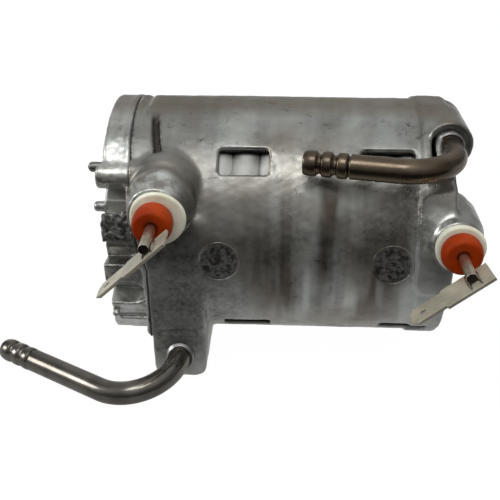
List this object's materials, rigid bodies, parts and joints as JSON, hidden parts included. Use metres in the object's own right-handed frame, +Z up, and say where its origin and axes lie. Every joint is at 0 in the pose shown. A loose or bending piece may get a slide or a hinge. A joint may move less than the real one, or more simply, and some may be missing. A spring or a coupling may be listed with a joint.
{
  "type": "flow-through water heater",
  "caption": "Cast aluminium barrel with a heating coil in its wall; water enters at a foot and leaves at a boss through barbed bent tubes.",
  "frame": {"origin": "on the barrel's axis, at the outer flat face of the end cap", "axes": "+X along the barrel away from the end cap, -Y the side the terminals and tubes point to, +Z up"},
  "size_m": [0.1275, 0.0908, 0.0687],
  "materials": {
    "cast_aluminium": "die-cast, mottled and stained",
    "gasket_rubber": "matt",
    "pin_steel": "plain",
    "core_plastic": "moulded",
    "spiral_steel": "drawn wire",
    "sheath_steel": "drawn tube",
    "magnesia": "packed powder",
    "resistance_wire": "drawn wire",
    "terminal_nickel": "nickel-plated, slightly dulled",
    "ceramic": "fired, unglazed",
    "silicone": "satin",
    "stainless": "drawn, satin",
    "collar_aluminium": "pressed"
  },
  "bodies": {
    "root": {"main_body": "cast_aluminium", "end_cap": "cast_aluminium", "cap_gasket": "gasket_rubber", "cap_pins": "pin_steel", "displacer_core": "core_plastic", "flow_spiral": "spiral_steel", "heater_sheath": "sheath_steel", "heater_powder": "magnesia", "heating_wire": "resistance_wire", "terminal_pin_left": "terminal_nickel", "terminal_pin_right": "terminal_nickel", "ceramic_ring_left": "ceramic", "ceramic_ring_right": "ceramic", "silicone_plug_left": "silicone", "silicone_plug_right": "silicone", "terminal_tab_left": "terminal_nickel", "terminal_tab_right": "terminal_nickel", "inlet_tube": "stainless", "outlet_tube": "stainless", "inlet_collar": "collar_aluminium", "outlet_collar": "collar_aluminium"}
  },
  "joints": []
}
